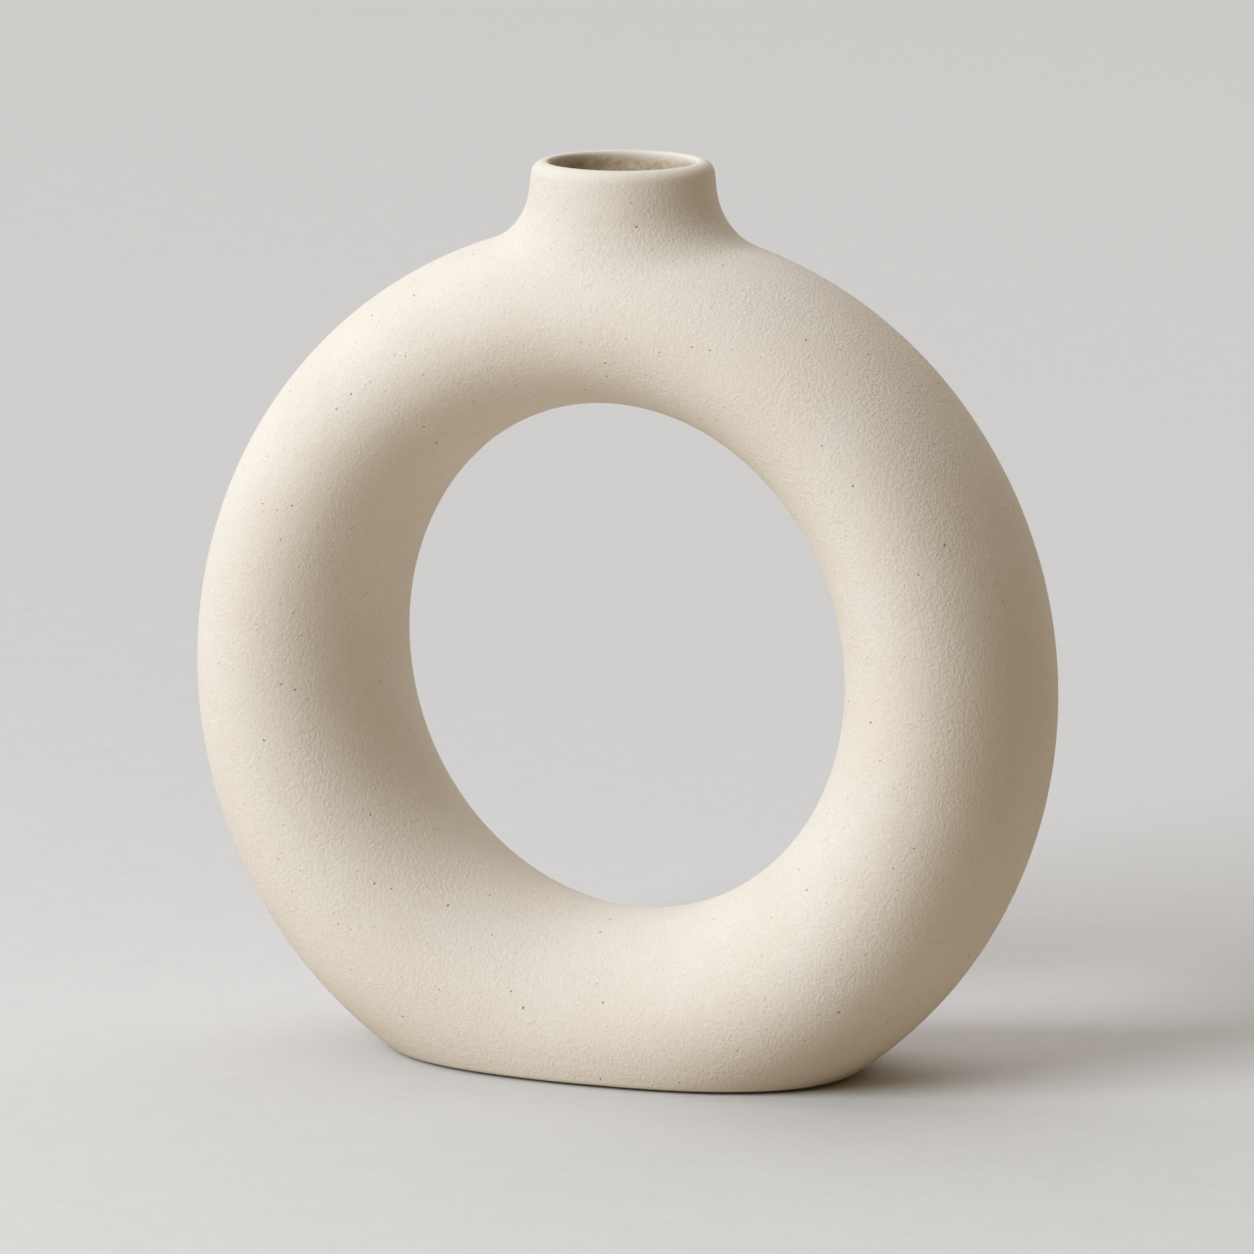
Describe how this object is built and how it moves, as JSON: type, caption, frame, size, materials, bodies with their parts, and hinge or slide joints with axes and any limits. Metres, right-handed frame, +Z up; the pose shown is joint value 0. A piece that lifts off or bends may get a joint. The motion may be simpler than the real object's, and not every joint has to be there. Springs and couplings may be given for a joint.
{
  "type": "ring vase",
  "caption": "Free-standing ring-shaped stoneware vase: a hollow upright ring on a flat foot with a short flared neck and round mouth on top.",
  "frame": {"origin": "on the table under the middle of the foot, at the underside of the felt pads", "axes": "+Z up through the mouth, +Y from the front face to the back face along the axis of the ring's hole, +X to the right"},
  "size_m": [0.257, 0.083, 0.2605],
  "materials": {
    "stoneware": "matt, fine-grained, unglazed outside",
    "felt": "pressed felt"
  },
  "bodies": {
    "root": {"front_ring_half": "stoneware", "back_ring_half": "stoneware", "neck_collar": "stoneware", "foot_slab": "stoneware", "felt_pads": "felt"}
  },
  "joints": []
}
